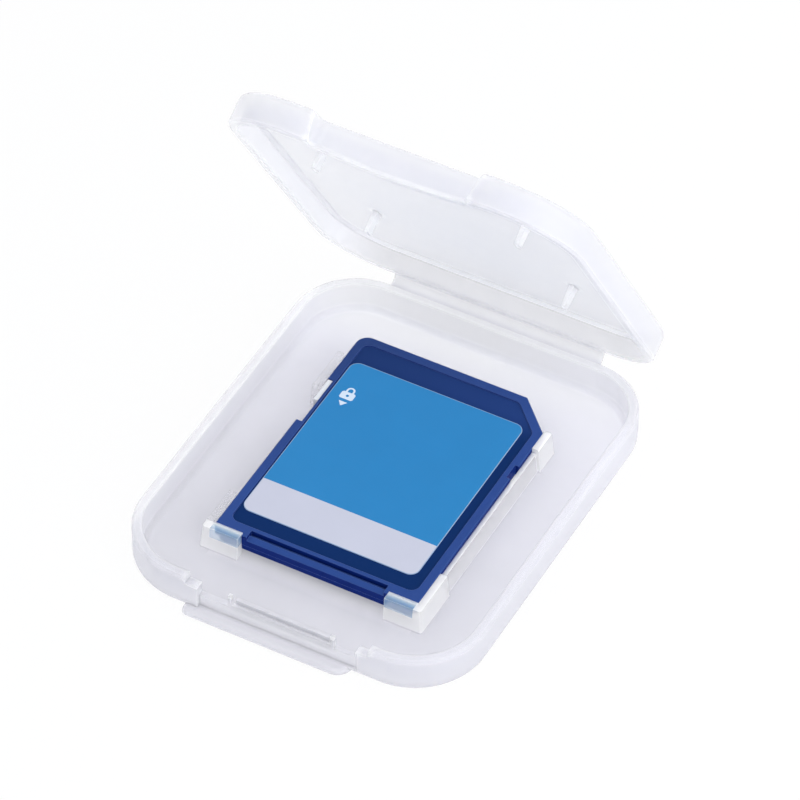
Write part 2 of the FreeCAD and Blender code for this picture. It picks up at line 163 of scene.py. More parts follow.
class CaseFinish(bpy.types.PropertyGroup):
    """The frosted plastic of the tray, the lid and the web between them."""

    tint: colour_property("Plastic tint", "Colour of the milky plastic", (0.755, 0.757, 0.815))
    floor_tint: colour_property("Floor tint", "Colour of the tray's floor and tab", (0.74, 0.735, 0.795))
    # painted highlight along the moulded edges
    edge_highlight_white: colour_property("Edge white", "Colour of the moulded edges", (0.93, 0.93, 0.96))
    # the clips' colours are painted light: the card's blue as seen through, a whiter lit copy of the
    # plastic, and highlights
    painted_card_blue: colour_property("Clip tint", "Colour of the clips' faces before the card", (0.4, 0.63, 1.0))
    clip_white: colour_property("Clip white", "Colour of the clips' other faces", (0.93, 0.945, 1.0))
    clip_edge_highlight: colour_property("Clip edge", "Colour of the clips' edges", (0.88, 0.92, 1.0))
    hook_highlight_white: colour_property("Hook white", "Colour along the hooks' inner edge", (0.84, 0.9, 1.0))
    clearness: share_property("Clearness", "Share of the light that one surface lets through", 0.67)
    clip_clearness: share_property("Clip clearness", "The same for the clips' faces before the card", 0.74)
    clip_density: share_property("Clip density", "Share that the clips' upright sides stop", 0.38)
    clip_top_density: share_property("Clip top density", "Share that the clips' level tops stop", 0.7)
    hook_density: share_property("Hook density", "Share that the hooks' inner edge stops", 0.75)
    guide_density: share_property("Guide density", "Share that the sides of the card's guide stop", 0.18)
    guide_top_density: share_property("Guide top density", "Share that the guide's top stops", 0.6)
    left_density: share_property("Left clip density", "Share that the clips on the card's left stop", 0.08)
    corner_density: share_property("Corner density", "Share that an inner corner stops besides", 0.4)
    # a painted highlight, a line of light along the bevel at the lid's back
    bevel_highlight_density: share_property("Bevel density", "Share that the bevel at the lid's back stops", 0.85)
    haze: share_property("Haze", "Roughness of the satin skin", 0.36)
    lit_through: share_property("Lit through", "Share of the stopped light that still lights things", 0.75)
    # the glows are painted highlights along the edges
    edge_glow: share_property("Edge glow", "How much whiter and denser the moulded edges look", 0.5)
    clip_glow: share_property("Clip glow", "The same for the edges of the clips", 0.55)
    latch_glow: share_property("Latch glow", "Edge glow of the latch, as a share of the others'", 0.3)
    edge_round: length_property("Edge round", "Radius by which the edges look softened", 0.22 * MM)
    edge_depth: length_property("Edge depth", "How far the white of an edge reaches", 0.9 * MM)
    corner_depth: length_property("Corner depth", "How far the shade of an inner corner reaches", 1.0 * MM)
    web_thickness: length_property("Web thickness", "Thickness of the hinge at the walls", 0.36 * MM)
    web_edge: length_property("Web edge", "Width of the thinned edge at the web's ends", 0.15 * MM)
    web_waist: share_property("Web waist", "Thickness along the fold, as a share", 0.7)
    web_thinned: share_property("Web thinned", "Thickness at the web's ends, as a share", 0.55)


class CardFinish(bpy.types.PropertyGroup):
    """The flash card's mouldings and its label."""

    shell: colour_property("Shell", "Colour of the card's moulded shells", (0.018, 0.057, 0.24))
    # painted highlight: the colour that the shells' edges take where they catch the light
    edge: colour_property("Edges", "Colour that the worn edges of the shells look", (0.1, 0.17, 0.45))
    # painted shade: the upright sides take a darker copy of the shell's blue
    side: colour_property("Sides", "Colour of the upright sides of the shells", (0.003, 0.018, 0.155))
    recess: colour_property("Recess", "Colour of the smooth recess round the label", (0.003, 0.024, 0.115))
    recess_back: colour_property("Recess back", "Recess behind the label", (0.014, 0.043, 0.18))
    # painted shade towards the left back corner
    far_corner_shade: colour_property("Far corner", "Tone of the left back corner", (0.006, 0.02, 0.08))
    slider: colour_property("Lock slider", "Colour of the lock slider", (0.72, 0.74, 0.78))
    label: colour_property("Label", "Colour of the label's printed field", (0.014, 0.205, 0.49))
    strip: colour_property("Writing strip", "Colour of the bare strip to write on", (0.53, 0.55, 0.66))
    paper: colour_property("Label edge", "Colour of the label's cut edge", (0.3, 0.42, 0.62))
    sign: colour_property("Lock sign", "Colour of the padlock sign", (0.62, 0.72, 0.85))
    grip_depth: length_property("Grip depth", "Depth of the grip at the card's front edge", 1.2 * MM)
    strip_height: length_property("Strip height", "Height of the writing strip", 4.9 * MM)
    border: length_property("Label border", "Unprinted border round the label", 0.07 * MM)
    corner: length_property("Label corner", "Corner radius of the label", 1.1 * MM)
    sign_size: length_property("Lock sign size", "Width of the padlock sign", 1.6 * MM)
    sign_from_left: length_property("Lock sign from left", "From the label's left edge", 1.95 * MM)
    sign_from_back: length_property("Lock sign from back", "From the label's back edge", 4.9 * MM)
    ink_height: length_property("Ink height", "Thickness of the sign's ink", 0.01 * MM)


class StudioLook(bpy.types.PropertyGroup):
    """Camera, lamps and floor."""

    azimuth: angle_property("Azimuth", "Camera's turn to the right", 0.498639)
    elevation: angle_property("Elevation", "Camera's height angle", 0.792655)
    distance: length_property("Distance", "From the camera to the point that it looks at", 0.6304)
    target: FloatVectorProperty(
        name="Target", description="Point that the camera looks at", subtype="XYZ", unit="LENGTH",
        default=(-0.673 * MM, 4.25 * MM, 10.067 * MM))
    lens: FloatProperty(name="Lens", description="Focal length in millimetres", default=271.2)
    ambient: FloatProperty(name="Ambient", description="Light from all round", default=0.9, min=0)
    key: power_property("Key lamp", "Power of the soft lamp overhead", 0.9)
    fill: power_property("Fill lamp", "Power of the soft lamp on the right", 1.0)
    floor_radius: length_property("Floor radius", "Radius of the round floor", 0.9)
    floor_drop: length_property("Floor drop", "How far the floor lies under the case", 0.05 * MM)
    # painted shade on the floor under the case
    shade_under_case: colour_property("Covered floor", "Floor seen through the case", (0.75, 0.75, 0.81))
    floor_glow: share_property("Floor glow", "Share of plain white in the floor as it is seen", 0.8)


class CardCaseLook(bpy.types.PropertyGroup):
    """Everything that a user would change."""

    case: PointerProperty(type=CaseFinish)
    card: PointerProperty(type=CardFinish)
    studio: PointerProperty(type=StudioLook)


class Finish:
    """A material with its nodes: one surface shader and the textures that feed it."""

    def __init__(self, name):
        self.material = bpy.data.materials.new(name)
        self.material.use_nodes = True
        self.tree = self.material.node_tree
        self.shader = self.tree.nodes["Principled BSDF"]
        self.place = self.add("ShaderNodeTexCoord").outputs["Object"]
        self.normal = None

    def add(self, kind, **settings):
        """A new node with the given settings."""
        node = self.tree.nodes.new(kind)
        for key, value in settings.items():
            setattr(node, key, value)
        return node

    def wire(self, source, target):
        """Links an output to an input."""
        self.tree.links.new(source, target)

    def feed(self, value, socket):
        """Gives an input a link or a plain value."""
        if isinstance(value, bpy.types.NodeSocket):
            self.wire(value, socket)
        else:
            socket.default_value = value

    def set(self, **values):
        """Plain values on the shader's own sockets, named with underscores for spaces."""
        for key, value in values.items():
            self.shader.inputs[key.replace("_", " ")].default_value = value

    def noise(self, grain_size, detail=2.0, stretch=(1, 1, 1)):
        """Noise whose grains have the given size in metres."""
        mapping = self.add("ShaderNodeMapping")
        mapping.inputs["Scale"].default_value = [1 / (grain_size * s) for s in stretch]
        self.wire(self.place, mapping.inputs["Vector"])
        noise = self.add("ShaderNodeTexNoise")
        noise.inputs["Scale"].default_value = 1.0
        noise.inputs["Detail"].default_value = detail
        self.wire(mapping.outputs["Vector"], noise.inputs["Vector"])
        return noise.outputs["Fac"]

    def spread(self, source, low, high, from_low=0.3, from_high=0.7):
        """A value moved from one range to another."""
        node = self.add("ShaderNodeMapRange")
        ranges = (("From Min", from_low), ("From Max", from_high), ("To Min", low), ("To Max", high))
        for key, value in ranges:
            node.inputs[key].default_value = value
        self.wire(source, node.inputs["Value"])
        return node.outputs["Result"]

    def math(self, operation, *values):
        """Arithmetic on values, any of which may be a plain number."""
        node = self.add("ShaderNodeMath", operation=operation)
        for value, socket in zip(values, node.inputs):
            self.feed(value, socket)
        return node.outputs["Value"]

    def product(self, first, *others):
        """All the given values multiplied."""
        for other in others:
            first = self.math("MULTIPLY", first, other)
        return first

    def mix(self, share, first, second):
        """A colour between two colours, either of which may be a socket."""
        node = self.add("ShaderNodeMix", data_type="RGBA")
        self.wire(share, node.inputs["Factor"])
        for value, socket in ((first, node.inputs[6]), (second, node.inputs[7])):
            self.feed(value if isinstance(value, bpy.types.NodeSocket) else (*value, 1), socket)
        return node.outputs[2]

    def choose(self, share, without, with_it):
        """A value between two values, either of which may be a socket."""
        node = self.add("ShaderNodeMix", data_type="FLOAT")
        self.wire(share, node.inputs[0])
        self.feed(without, node.inputs[2])
        self.feed(with_it, node.inputs[3])
        return node.outputs[0]

    def feed_shader(self, name, source):
        """Feeds one of the shader's sockets."""
        self.wire(source, self.shader.inputs[name])

    def colour(self, source):
        """Feeds the shader's colour."""
        self.feed_shader("Base Color", source)

    def roughness(self, source):
        """Feeds the shader's roughness."""
        self.feed_shader("Roughness", source)

    def soften_edges(self, radius):
        """Rounds how the edges catch the light."""
        bevel = self.add("ShaderNodeBevel", samples=4)
        bevel.inputs["Radius"].default_value = radius
        self.normal = bevel.outputs["Normal"]
        self.feed_shader("Normal", self.normal)

    def grain(self, source, height, strength=1.0):
        """Raises the surface by a texture, up to the given height in metres."""
        bump = self.add("ShaderNodeBump")
        bump.inputs["Strength"].default_value = strength
        bump.inputs["Distance"].default_value = height
        self.wire(source, bump.inputs["Height"])
        if self.normal:
            self.wire(self.normal, bump.inputs["Normal"])
        self.normal = bump.outputs["Normal"]
        self.feed_shader("Normal", self.normal)

    def edge_share(self):
        """One along the softened edges, nothing on the flats."""
        flat = self.add("ShaderNodeNewGeometry")
        across = self.add("ShaderNodeVectorMath", operation="DOT_PRODUCT")
        self.wire(flat.outputs["Normal"], across.inputs[0])
        self.wire(self.normal, across.inputs[1])
        return self.spread(across.outputs["Value"], 1.0, 0.0, 0.78, 0.97)

    def thinness(self, reach):
        """One at the edges and on parts thinner than the reach, nothing on the flats of thicker walls."""
        node = self.add("ShaderNodeAmbientOcclusion", samples=6, only_local=True, inside=True)
        self.wire(reach, node.inputs["Distance"])
        return self.spread(node.outputs["AO"], 1.0, 0.0, 0.45, 0.9)

    def inner_corners(self, reach):
        """One deep in the nooks that are narrower than the reach, nothing where the surface lies open."""
        node = self.add("ShaderNodeAmbientOcclusion", samples=6, only_local=True)
        node.inputs["Distance"].default_value = reach
        return self.spread(node.outputs["AO"], 1.0, 0.0, 0.35, 0.9)

    def outer_side(self):
        """One on the outer side of a surface, nothing on the side inside the plastic."""
        geometry = self.add("ShaderNodeNewGeometry")
        return self.math("SUBTRACT", 1.0, geometry.outputs["Backfacing"])

    def facing_up(self):
        """One on a level top, nothing on an upright side, less than that underneath."""
        axes = self.add("ShaderNodeSeparateXYZ")
        self.wire(self.add("ShaderNodeNewGeometry").outputs["Normal"], axes.inputs["Vector"])
        return axes.outputs["Z"]

    def lit_through(self, density, share):
        """Feeds an alpha that lets a larger share of the light through than of the view."""
        path = self.add("ShaderNodeLightPath")
        light = self.math("MAXIMUM", path.outputs["Is Shadow Ray"], path.outputs["Is Diffuse Ray"])
        self.feed_shader("Alpha", self.product(density, self.spread(light, 1.0, 1 - share, 0.0, 1.0)))

    def axis(self, name):
        """The place along the piece's own X, Y or Z."""
        axes = self.add("ShaderNodeSeparateXYZ")
        self.wire(self.place, axes.inputs["Vector"])
        return axes.outputs[name]

    def along(self, vector, direction):
        """How far a vector reaches along a direction."""
        across = self.add("ShaderNodeVectorMath", operation="DOT_PRODUCT")
        self.wire(vector, across.inputs[0])
        across.inputs[1].default_value = direction
        return across.outputs["Value"]

    def between(self, source, low, high):
        """One where a value lies between two numbers, nothing elsewhere."""
        from_middle = self.math("ABSOLUTE", self.math("SUBTRACT", source, (low + high) / 2))
        return self.math("LESS_THAN", from_middle, (high - low) / 2)

    def inside(self, low, high):
        """One inside a box, nothing outside."""
        return self.product(*(self.between(self.axis(axis), *ends) for axis, *ends in zip("XYZ", low, high)))


def shaded(colour, share):
    """A colour scaled towards black or past itself."""
    return tuple(min(1.0, channel * share) for channel in colour)


def dress(nodes, finish):
    """Puts one finish on CAD nodes."""
    for node in nodes:
        mesh = frame["nodes"][node].data
        mesh.materials.clear()
        mesh.materials.append(finish.material)


class ClipZones:
    """Shares that tell the tray's clips apart by where they stand round the card."""

    def __init__(self, finish):
        foot = CARD_LOW - CLIP_ROOM
        head = CARD_HIGH + CLIP_ROOM
        self.all = finish.inside(foot, head)
        self.near_card = finish.inside(CARD_LOW - NEAR_ROOM, CARD_HIGH + NEAR_ROOM)
        self.before_card = finish.inside(
            Vector((CARD_LOW.x, foot.y, CARD_LOW.z + CLIP_FACE_FOOT)),
            Vector((CARD_HIGH.x, CARD_LOW.y + CLIP_FACE_DEPTH, head.z)))
        self.left_walls = finish.inside(
            Vector((foot.x, CARD_LOW.y + CLIP_TOUCH, foot.z)),
            Vector((CARD_LOW.x + CLIP_TOUCH, CARD_HIGH.y, head.z)))
        self.guide = finish.inside(
            Vector((CARD_HIGH.x, CARD_LOW.y + GUIDE_FRONT, foot.z)),
            Vector((head.x, CARD_HIGH.y - GUIDE_BACK, head.z)))
        self.level = finish.math("GREATER_THAN", finish.facing_up(), 0.5)
        inward = finish.spread(finish.axis("Y"), 0.0, 1.0, *(CARD_LOW.y + reach for reach in HOOK_TOP))
        # painted highlight on the hooks' level tops
        self.hook_tops = finish.product(self.before_card, inward, self.level)


class LidZones:
    """Shares for the lid's plate, its back wall as seen from inside, which takes painted shade, and the
    bevel where the two meet, which takes a painted highlight.
    """

    def __init__(self, finish):
        to_free_end = OPENED @ Vector((0, -1, 0))
        to_plate = OPENED @ Vector((0, 0, 1))
        normal = finish.add("ShaderNodeTexCoord").outputs["Normal"]
        offset = finish.add("ShaderNodeVectorMath", operation="SUBTRACT")
        finish.wire(finish.place, offset.inputs[0])
        offset.inputs[1].default_value = HINGE_LINE
        from_hinge = finish.along(offset.outputs["Vector"], to_free_end)
        over_rim = finish.math("GREATER_THAN", finish.along(offset.outputs["Vector"], to_plate), 0.0)
        lid = finish.product(over_rim, finish.math("GREATER_THAN", from_hinge, LID_WALL_OUTSIDE))
        near_hinge = finish.product(lid, finish.math("LESS_THAN", from_hinge, LID_WALL_REACH))
        facing = finish.along(normal, to_free_end)
        tilt = finish.along(normal, to_plate)
        upright = finish.between(tilt, -0.3, 0.3)
        sloping = finish.between(tilt, -0.85, -0.5)
        self.plate = finish.product(lid, finish.math("GREATER_THAN", finish.math("ABSOLUTE", tilt), 0.9))
        # painted shade on the inner face of the lid's back wall
        self.back_wall_shade = finish.product(near_hinge, upright, finish.spread(facing, 0.0, 1.0, 0.5, 1.0))
        # painted highlight along the bevel at the foot of the back wall
        self.bevel = finish.product(near_hinge, sloping, finish.spread(facing, 0.0, 1.0, 0.35, 0.7))


def painted_light_before_card(finish):
    """One on the floor along the card's front edge, nothing further out: painted light that lifts the card's
    shadow there.
    """
    before, under = STRIP_ROOM
    strip = finish.inside(
        Vector((CARD_LOW.x, CARD_LOW.y - before, 0)),
        Vector((CARD_HIGH.x, CARD_LOW.y + under, FLOOR_HEIGHTS[1])))
    inward = finish.spread(finish.axis("Y"), 0.0, 1.0, CARD_LOW.y - STRIP_FADE, CARD_LOW.y)
    return finish.product(strip, inward)


def painted_light_tray_back(finish):
    """Painted light: one at the back of the tray, less towards its right, nothing further forward."""
    tray = finish.inside(TRAY_LOW - TOUCH_MARGIN, TRAY_HIGH + TOUCH_MARGIN)
    backward = finish.spread(finish.axis("Y"), 0.0, 1.0, *(TRAY_HIGH.y + reach for reach in TRAY_BACK))
    leftward = finish.spread(finish.axis("X"), 1.0, 0.2, 0.0, TRAY_HIGH.x)
    return finish.product(tray, backward, leftward)


def latch(finish):
    """One on the latch wall and the thumb tab before it, nothing elsewhere."""
    front = CAD_BOX[0].y
    left, right = LATCH_SPAN
    return finish.inside(Vector((left, front, 0)), Vector((right, front + LATCH_DEPTH, LATCH_HEIGHT)))


def painted_light_and_clouds(finish):
    """Painted light: nothing at the left front and one at the right back, with faint random clouding from
    moulding.
    """
    # painted light: the plastic is painted lighter from the left front to the right back
    flow = finish.math("ADD", finish.math("MULTIPLY", finish.axis("X"), 0.4), finish.axis("Y"))
    flow = finish.spread(flow, 0.0, 1.0, CAD_BOX[0].y, CAD_BOX[1].y)
    return finish.math("MULTIPLY_ADD", flow, 0.7, finish.math("MULTIPLY", finish.noise(9 * MM, 3.0), 0.3))


def tinted_by_light_and_clouds(finish, light_and_clouds, tint, shades):
    """A tint that turns from one shade to another with the painted light gradient and the clouding."""
    return finish.mix(light_and_clouds, *(shaded(tint, shade) for shade in shades))


def satin_skin(name, look):
    """Milky plastic with a satin skin that scatters light, before its colour and its clearness."""
    finish = Finish(name)
    finish.soften_edges(look.edge_round)
    finish.roughness(finish.spread(finish.noise(2.5 * MM, 3.0), look.haze - 0.03, look.haze + 0.05))
    finish.set(IOR=1.49, Subsurface_Weight=1.0, Subsurface_Radius=(1.0, 1.0, 1.0), Subsurface_Scale=1.0 * MM)
    return finish


def case_body(finish, look, lid):
    """The colour of the tray's and the lid's flats, with painted light and shade by place."""
    light_and_clouds = painted_light_and_clouds(finish)
    # painted light: the lid's plate is painted lighter towards the left
    plate_left_light = finish.spread(finish.axis("X"), 1.0, 0.0, CAD_BOX[0].x, PLATE_LIGHT_END)
    tones = (
        # the floor and tab: painted shade at the left front and painted light at the right back, stronger
        # than on the walls
        (finish.spread(finish.axis("Z"), 1.0, 0.0, *FLOOR_HEIGHTS),
         tinted_by_light_and_clouds(finish, light_and_clouds, look.floor_tint, FLOOR_SHADES)),
        # painted light on the floor before the card, lifting its shadow
        (painted_light_before_card(finish), shaded(look.floor_tint, STRIP_LIGHT)),
        # painted light at the tray's back
        (painted_light_tray_back(finish), shaded(look.tint, TRAY_BACK_LIGHT)),
        (finish.product(lid.plate, plate_left_light), shaded(look.tint, PLATE_LEFT_LIGHT)),
        # painted shade on the lid's back wall
        (lid.back_wall_shade, shaded(look.tint, LID_WALL_SHADE)),
    )
    body = tinted_by_light_and_clouds(finish, light_and_clouds, look.tint, LIGHT_AND_CLOUD_SHADES)
    for share, tone in tones:
        body = finish.mix(share, body, tone)
    return body


def painted_edge_highlights(finish, look, clips, lid, corners):
    """How white and dense the painted highlights along the moulded edges and thin parts look, by place."""
    reach = finish.choose(clips.all, look.edge_depth, look.edge_depth / 4)
    clip_glow = finish.choose(clips.left_walls, look.clip_glow, look.clip_glow / 4)
    glow = finish.choose(clips.all, look.edge_glow, clip_glow)
    latch_share = finish.choose(latch(finish), 1.0, look.latch_glow)
    # painted highlight at the edges and on thin parts, left out of shaded corners
    edge = finish.product(finish.thinness(reach), finish.math("SUBTRACT", 1.0, corners), glow, latch_share)
    # the bevel's painted highlight
    return finish.math("MAXIMUM", edge, finish.product(lid.bevel, look.bevel_highlight_density))


def clip_colour(finish, look, clips):
    """Painted light on the clips' flats: the card's blue painted on the faces before it as if seen through,
    a painted highlight on the hooks' tops, and a whiter lit copy of the plastic elsewhere.
    """
    faces = finish.mix(clips.hook_tops, look.painted_card_blue, look.hook_highlight_white)
    return finish.mix(clips.before_card, look.clip_white, faces)


def clip_density(finish, look, clips):
    """The share that one surface of the clips stops."""
    faces = finish.choose(clips.hook_tops, 1 - look.clip_clearness, look.hook_density)
    # the denser level tops show more of the painted white
    others = finish.choose(clips.level, look.clip_density, look.clip_top_density)
    guide = finish.choose(clips.level, look.guide_density, look.guide_top_density)
    density = finish.choose(clips.guide, finish.choose(clips.before_card, others, faces), guide)
    return finish.choose(clips.left_walls, density, look.left_density)


def frosted_case(look):
    """The plastic of the tray and the lid, with painted highlights along the edges, painted shade in the
    corners and painted light on the clips, by place.
    """
    finish = satin_skin("frosted_polypropylene", look)
    clips = ClipZones(finish)
    lid = LidZones(finish)
    outer_side = finish.choose(clips.near_card, finish.outer_side(), 0.0)
    corners = finish.product(finish.inner_corners(look.corner_depth), outer_side)
    edge = painted_edge_highlights(finish, look, clips, lid, corners)
    shade = finish.mix(corners, case_body(finish, look, lid), shaded(look.tint, CORNER_SHADE))
    shade = finish.mix(clips.all, shade, clip_colour(finish, look, clips))
    # painted highlight: the edges turn white
    finish.colour(finish.mix(edge, shade, finish.mix(clips.all, look.edge_highlight_white, look.clip_edge_highlight)))
    density = finish.choose(clips.all, 1 - look.clearness, clip_density(finish, look, clips))
    density = finish.math("MULTIPLY_ADD", corners, look.corner_density, density)
    finish.lit_through(finish.math("MAXIMUM", density, edge), look.lit_through)
    finish.feed_shader("Specular IOR Level", finish.choose(clips.all, 0.5, 0.25))
    return finish


def frosted_web(look):
    """The plastic of the living hinge, with a greyer copy of the tint as painted shade, and painted shade in
    its inner corners.
    """
    finish = satin_skin("frosted_web", look)
    # painted shade: the web takes a greyer copy of the plastic's tint
    tint = shaded(look.tint, WEB_SHADE)
    corners = finish.product(finish.inner_corners(look.corner_depth), finish.outer_side())
    body = tinted_by_light_and_clouds(finish, painted_light_and_clouds(finish), tint, LIGHT_AND_CLOUD_SHADES)
    finish.colour(finish.mix(corners, body, shaded(tint, CORNER_SHADE)))
    density = finish.math("MULTIPLY_ADD", corners, look.corner_density, 1 - look.clearness)
    finish.lit_through(density, look.lit_through)
    return finish


def card_top(finish, look, recess):
    """The colour of the card's upward faces: a mottled shell, a dark recess and painted shade towards the
    left back corner.
    """
    shell = finish.mix(finish.noise(3 * MM, 3.0), shaded(look.shell, 0.9), shaded(look.shell, 1.1))
    back = LABEL_HIGH.y
    behind_label = finish.spread(finish.axis("Y"), 0.0, 1.0, back - 2 * MM, back + 1 * MM)
    deep = finish.mix(behind_label, look.recess, look.recess_back)
    to_left_back = finish.math("SUBTRACT", finish.axis("Y"), finish.axis("X"))
    nearest = CARD_HIGH.y - CARD_HIGH.x
    furthest = CARD_HIGH.y - CARD_LOW.x
    # painted shade, growing towards the left back corner
    far_shade = finish.spread(to_left_back, 0.0, 0.45, nearest, furthest)
    return finish.mix(far_shade, finish.mix(recess, shell, deep), look.far_corner_shade)


def card_plastic(look):
    """Spark-eroded blue plastic, with a smooth dark recess round the label, painted highlights along its
    edges and painted shade on its upright sides.
    """
    finish = Finish("card_plastic")
    upward = finish.math("GREATER_THAN", finish.facing_up(), 0.3)
    sunk = finish.math("LESS_THAN", finish.axis("Z"), (LABEL_LOW.z + CARD_HIGH.z) / 2)
    behind_grip = finish.math("GREATER_THAN", finish.axis("Y"), CARD_LOW.y + look.grip_depth)
    recess = finish.product(upward, sunk, behind_grip)
    sheen = finish.product(upward, finish.math("SUBTRACT", 1.0, recess))
    finish.feed_shader("Specular IOR Level", finish.spread(sheen, 0.04, 0.15, 0.0, 1.0))
    finish.soften_edges(0.12 * MM)
    # painted highlight along the softened edges
    edge_highlight = finish.product(finish.edge_share(), 0.6)
    # painted shade on the upright sides, the painted highlight on the edges
    finish.colour(finish.mix(edge_highlight, finish.mix(upward, look.side, card_top(finish, look, recess)), look.edge))
    finish.roughness(finish.spread(finish.noise(0.5 * MM), 0.36, 0.46))
    finish.set(IOR=1.5)
    finish.grain(finish.noise(0.09 * MM, 2.0), 0.006 * MM, 0.4)
    return finish


def slider_plastic(look):
    """Pale plastic with a fine skin."""
    finish = Finish("slider_plastic")
    finish.colour(finish.mix(finish.noise(0.8 * MM), shaded(look.slider, 0.95), shaded(look.slider, 1.05)))
    finish.roughness(finish.spread(finish.noise(0.3 * MM), 0.4, 0.5))
    finish.soften_edges(0.08 * MM)
    finish.grain(finish.noise(0.08 * MM), 0.004 * MM, 0.4)
    return finish


def printed_film(name, colour, gloss):
    """Printed film: even ink over a faint fibre, under a satin coat."""
    finish = Finish(name)
    ink = finish.noise(4 * MM, 3.0)
    finish.colour(finish.mix(ink, shaded(colour, 0.96), shaded(colour, 1.04)))
    finish.roughness(finish.spread(finish.noise(0.4 * MM), gloss - 0.04, gloss + 0.05))
    finish.set(IOR=1.48, Specular_IOR_Level=0.25)
    finish.grain(finish.noise(0.11 * MM, 3.0), 0.003 * MM, 0.3)
    return finish


def solder_mask():
    """Green lacquer over copper tracks that stand up a little."""
    finish = Finish("solder_mask")
    tracks = finish.noise(1.2 * MM, 1.0, (0.35, 3.0, 1.0))
    raised = finish.spread(tracks, 0.0, 1.0, 0.47, 0.53)
    finish.colour(finish.mix(raised, (0.012, 0.09, 0.04), (0.03, 0.17, 0.08)))
    finish.roughness(finish.spread(tracks, 0.25, 0.35))
    finish.grain(raised, 0.02 * MM, 0.6)
    return finish


def moulded_epoxy():
    """Black chip package with a sandblasted skin."""
    finish = Finish("moulded_epoxy")
    finish.colour(finish.mix(finish.noise(0.4 * MM), (0.016, 0.016, 0.018), (0.03, 0.03, 0.033)))
    finish.roughness(finish.spread(finish.noise(0.2 * MM), 0.5, 0.65))
    finish.soften_edges(0.06 * MM)
    finish.grain(finish.noise(0.06 * MM, 3.0), 0.006 * MM, 0.6)
    return finish


def chip_body(name, node, colour):
    """Fired ceramic between two tinned ends."""
    finish = Finish(name)
    low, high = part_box(node)
    from_middle = finish.math("ABSOLUTE", finish.math("SUBTRACT", finish.axis("Y"), (low.y + high.y) / 2))
    tinned = finish.math("GREATER_THAN", from_middle, (high.y - low.y) * 0.27)
    body = finish.mix(finish.noise(0.2 * MM), shaded(colour, 0.85), shaded(colour, 1.15))
    finish.colour(finish.mix(tinned, body, (0.55, 0.55, 0.56)))
    finish.feed_shader("Metallic", tinned)
    finish.roughness(finish.spread(finish.noise(0.15 * MM), 0.3, 0.45))
    finish.soften_edges(0.04 * MM)
    return finish


def gold_plate():
    """Plated contact with fine wiping scratches along it."""
    finish = Finish("gold_plate")
    finish.colour(finish.mix(finish.noise(0.8 * MM), (0.78, 0.5, 0.16), (0.9, 0.62, 0.24)))
    scratches = finish.noise(0.05 * MM, 2.0, (1.0, 40.0, 1.0))
    finish.roughness(finish.spread(scratches, 0.2, 0.38))
    finish.set(Metallic=1.0)
    finish.grain(scratches, 0.002 * MM, 0.4)
    return finish


def mesh_object(name, build, finishes, closed=True):
    """An object whose mesh a function fills, with its finishes; a closed one's faces are turned outwards."""
    work = bmesh.new()
    build(work)
    if closed:
        bmesh.ops.recalc_face_normals(work, faces=work.faces[:])
    mesh = bpy.data.meshes.new(name)
    work.to_mesh(mesh)
    work.free()
    for finish in finishes:
        mesh.materials.append(finish.material)
    piece = bpy.data.objects.new(name, mesh)
    bpy.context.scene.collection.objects.link(piece)
    return piece


def ring_of(work, points):
    """Vertices at the given points."""
    return [work.verts.new(point) for point in points]


def join_rings(work, first, second, paint=0, smooth=False):
    """A band of faces between two closed rings of as many vertices."""
    for index, corner in enumerate(first):
        after = (index + 1) % len(first)
        face = work.faces.new((corner, first[after], second[after], second[index]))
        face.material_index = paint
        face.smooth = smooth


def cap(work, ring, paint=0):
    """One face over a closed ring."""
    face = work.faces.new(ring)
    face.material_index = paint


def web_section(thickness, waist, steps=28):
    """The bent web's section at rest: pairs of an inner and an outer point, and its two ends."""
    start = Vector((0, WEB_LOW.y, WEB_LOW.z + thickness / 2))
    shut = Vector((0, start.y, 2 * HINGE_LINE.z - start.z))
    end = HINGE_LINE + OPENED @ (shut - HINGE_LINE)
    turn = math.pi - OPEN_ANGLE
    radius = (end - start).length / (2 * math.sin(turn / 2))
    centre = start + Vector((0, 0, radius))
    pairs = []
    for step in range(steps + 1):
        share = step / steps
        angle = turn * share - math.pi / 2
        outward = Vector((0, math.cos(angle), math.sin(angle)))
        half = thickness / 2 * (1 - (1 - waist) * math.sin(math.pi * share) ** 2)
        pairs.append((centre + outward * (radius - half), centre + outward * (radius + half)))
    return pairs, start, end


def build_web(work, pairs, look):
    """The web as a bent plate whose two free ends are thinned to a soft edge."""
    left, right, edge, thin = WEB_LOW.x, WEB_HIGH.x, look.web_edge, look.web_thinned
    rings = []
    for x, thinned in ((left, thin), (left + edge, 1.0), (right - edge, 1.0), (right, thin)):
        points = []
        for inner, outer in pairs:
            middle = (inner + outer) / 2
            points.append(middle + (inner - middle) * thinned)
        for inner, outer in reversed(pairs):
            middle = (inner + outer) / 2
            points.append(middle + (outer - middle) * thinned)
        rings.append(ring_of(work, [point + Vector((x, 0, 0)) for point in points]))
    for first, second in zip(rings, rings[1:]):
        join_rings(work, first, second, smooth=True)
    cap(work, rings[0])
    cap(work, rings[-1])


def label_outline(radius, inset, split, height, steps=10):
    """Points round the label at one height, and the places of the two where the strip begins."""
    left, right = LABEL_LOW.x + inset, LABEL_HIGH.x - inset
    front, back = LABEL_LOW.y + inset, LABEL_HIGH.y - inset
    bend = radius - inset
    corners = ((right, front, -1, 1), (right, back, -1, -1), (left, back, 1, -1), (left, front, 1, 1))
    points, splits = [], []
    for number, (x, y, to_x, to_y) in enumerate(corners):
        middle = Vector((x + to_x * bend, y + to_y * bend, height))
        for step in range(steps + 1):
            angle = math.radians(90 * (number - 1 + step / steps))
            points.append(middle + Vector((math.cos(angle), math.sin(angle), 0)) * bend)
        if number in (0, 2):
            splits.append(len(points))
            points.append(Vector((x, split, height)))
    return points, splits


